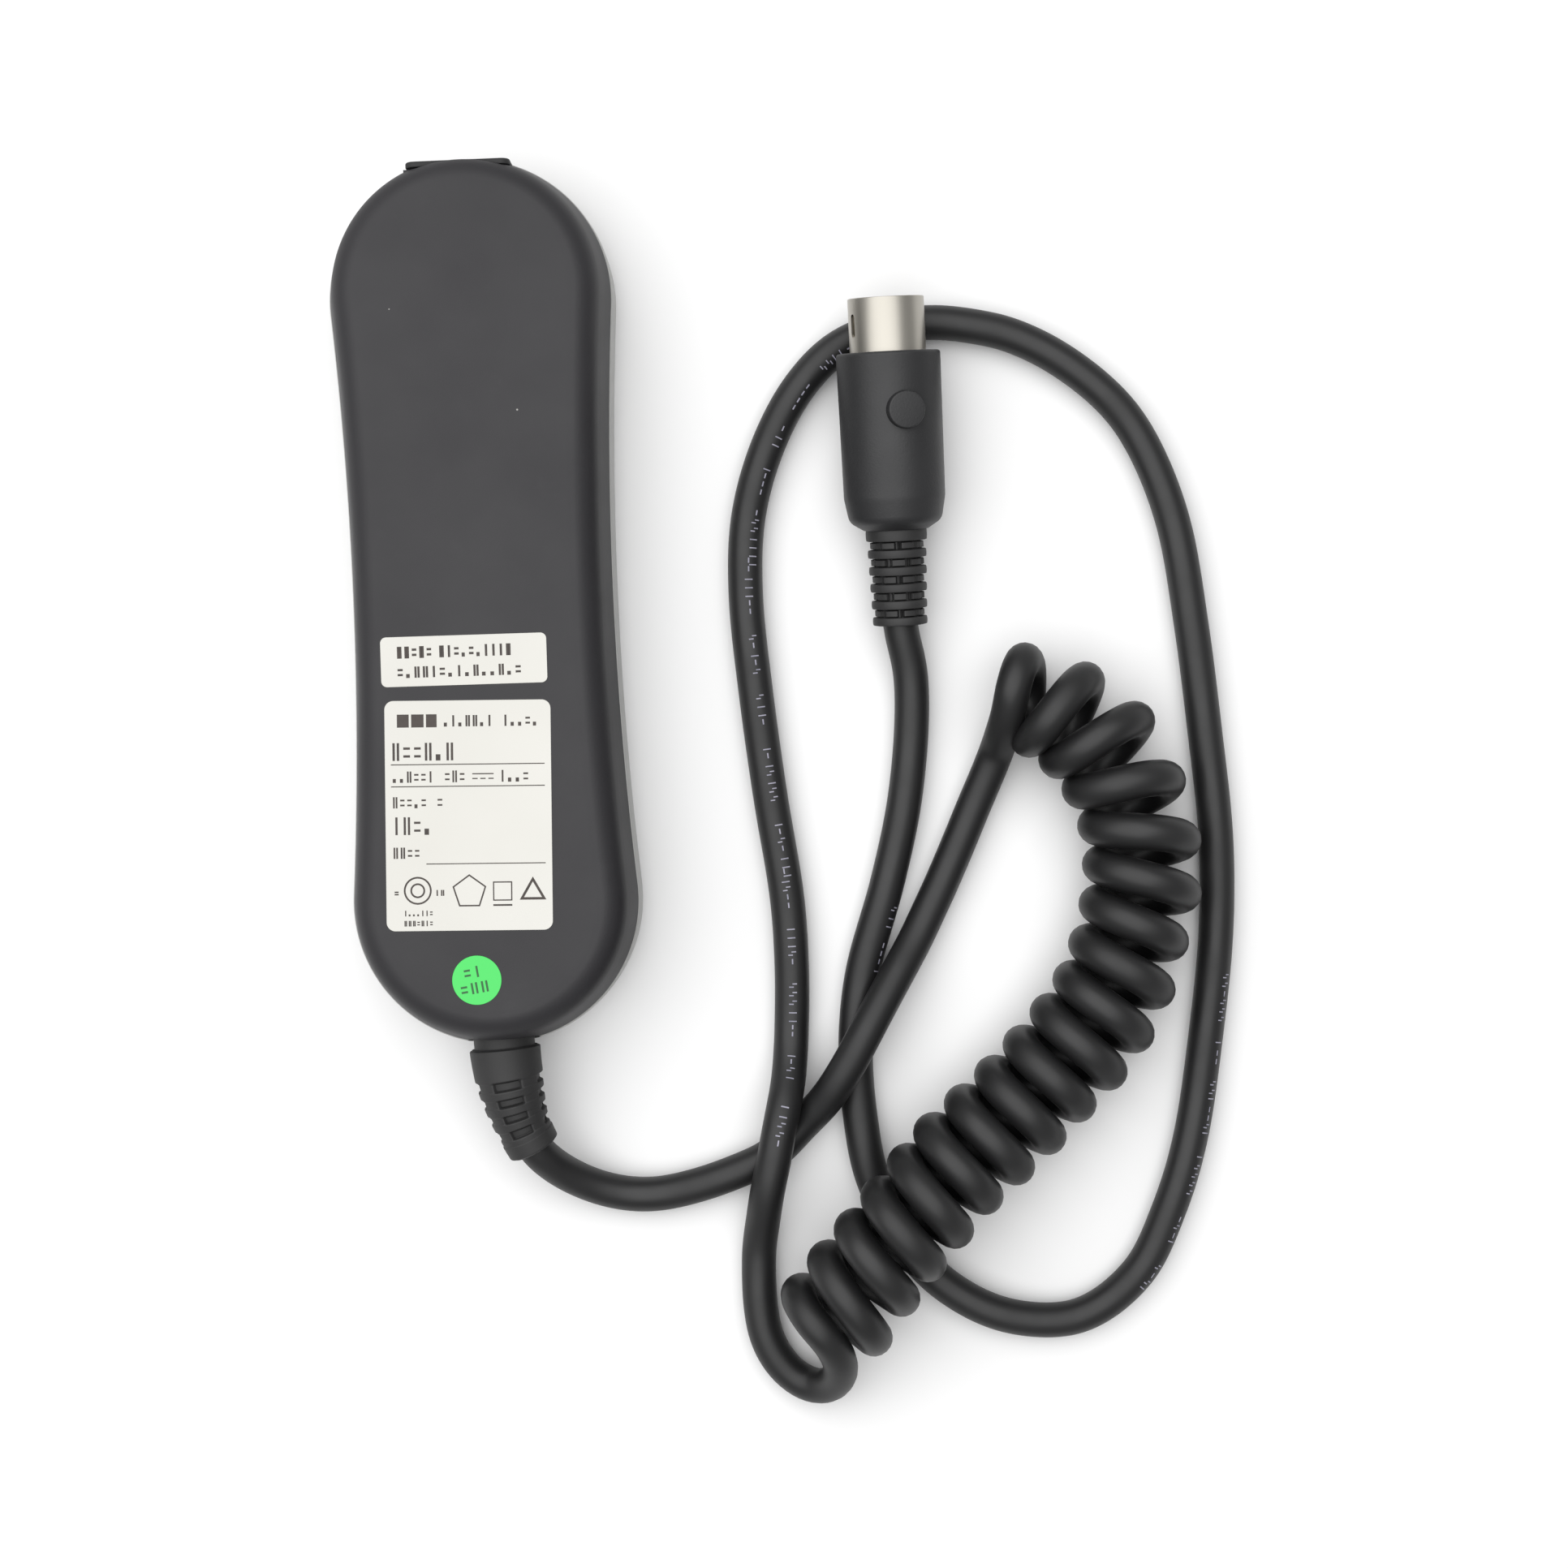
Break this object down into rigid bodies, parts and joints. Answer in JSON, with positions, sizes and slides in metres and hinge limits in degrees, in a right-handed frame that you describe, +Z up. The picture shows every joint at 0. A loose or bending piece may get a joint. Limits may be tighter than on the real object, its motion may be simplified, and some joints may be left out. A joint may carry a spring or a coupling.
{
  "type": "wired hand control",
  "caption": "Slim two-shell handset with a recessed keypad, a capped charging port, two labels on its back, and a part-coiled lead ending in a round multi-pin plug.",
  "frame": {"origin": "centre of the handset's footprint on the surface it rests on, key side down (the cord and what is on it are left out)", "axes": "+Z up through the rear shell, +Y along the handset from the cord end to the charging-port end, +X to the side where the cord lies"},
  "size_m": [0.1539, 0.2195, 0.0268],
  "materials": {
    "front_plastic": "satin moulded, light grey",
    "rear_plastic": "fine spark texture, charcoal",
    "panel_plastic": "smooth",
    "key_plastic": "satin",
    "plunger_plastic": "satin",
    "black_plastic": "satin",
    "board_laminate": "solder mask",
    "plated_steel": "zinc plated",
    "plated_shell": "nickel plated, satin",
    "tongue_plastic": "smooth",
    "cover_rubber": "matt",
    "ivory_plastic": "smooth",
    "wire_insulation": "smooth, one colour for each wire",
    "cord_jacket": "semi-gloss jacket",
    "relief_rubber": "matt",
    "plug_moulding": "semi-gloss moulding",
    "label_film": "printed film, satin",
    "sticker_film": "coloured film, satin",
    "pin_metal": "gold flashed"
  },
  "bodies": {
    "handset": {"front_shell": "front_plastic", "rear_shell": "rear_plastic", "keypad_panel": "panel_plastic", "switch_bodies": "black_plastic", "circuit_board": "board_laminate", "case_screws": "plated_steel", "usb_socket_shell": "plated_shell", "usb_socket_tongue": "tongue_plastic", "converter_parts": "black_plastic", "wire_header": "ivory_plastic", "lead_wires": "wire_insulation", "cord_stub": "cord_jacket", "cord_clamp": "black_plastic", "model_label": "label_film", "rating_label": "label_film", "inspection_sticker": "sticker_film", "handset_strain_relief": "relief_rubber", "cord_lead": "cord_jacket", "cord_coil": "cord_jacket", "cord_main": "cord_jacket", "plug_strain_relief": "relief_rubber", "plug_body": "plug_moulding", "plug_shield": "plated_shell", "plug_insert": "black_plastic", "plug_pins": "pin_metal"},
    "key_1_unit": {"key_1": "key_plastic", "plunger_1": "plunger_plastic"},
    "key_2_unit": {"key_2": "key_plastic", "plunger_2": "plunger_plastic"},
    "key_3_unit": {"key_3": "key_plastic", "plunger_3": "plunger_plastic"},
    "key_4_unit": {"key_4": "key_plastic", "plunger_4": "plunger_plastic"},
    "key_5_unit": {"key_5": "key_plastic", "plunger_5": "plunger_plastic"},
    "key_6_unit": {"key_6": "key_plastic", "plunger_6": "plunger_plastic"},
    "port_cover": {"usb_cover": "cover_rubber"}
  },
  "joints": [
    {"name": "key_1_press", "type": "slide", "parent": "handset", "child": "key_1_unit", "axis": [0, 0, 1], "range_m": [0, 0.001], "stiffness_N_per_m": 900, "springref_m": -0.0011},
    {"name": "key_2_press", "type": "slide", "parent": "handset", "child": "key_2_unit", "axis": [0, 0, 1], "range_m": [0, 0.001], "stiffness_N_per_m": 900, "springref_m": -0.0011},
    {"name": "key_3_press", "type": "slide", "parent": "handset", "child": "key_3_unit", "axis": [0, 0, 1], "range_m": [0, 0.001], "stiffness_N_per_m": 900, "springref_m": -0.0011},
    {"name": "key_4_press", "type": "slide", "parent": "handset", "child": "key_4_unit", "axis": [0, 0, 1], "range_m": [0, 0.001], "stiffness_N_per_m": 900, "springref_m": -0.0011},
    {"name": "key_5_press", "type": "slide", "parent": "handset", "child": "key_5_unit", "axis": [0, 0, 1], "range_m": [0, 0.001], "stiffness_N_per_m": 900, "springref_m": -0.0011},
    {"name": "key_6_press", "type": "slide", "parent": "handset", "child": "key_6_unit", "axis": [0, 0, 1], "range_m": [0, 0.001], "stiffness_N_per_m": 900, "springref_m": -0.0011},
    {"name": "port_cover_hinge", "type": "hinge", "parent": "handset", "child": "port_cover", "pos_m": [0, 0.074, 0.01305], "axis": [-1, 0, 0], "range_deg": [0, 90], "stiffness_Nm_per_rad": 0.002, "springref_deg": -11.46}
  ]
}
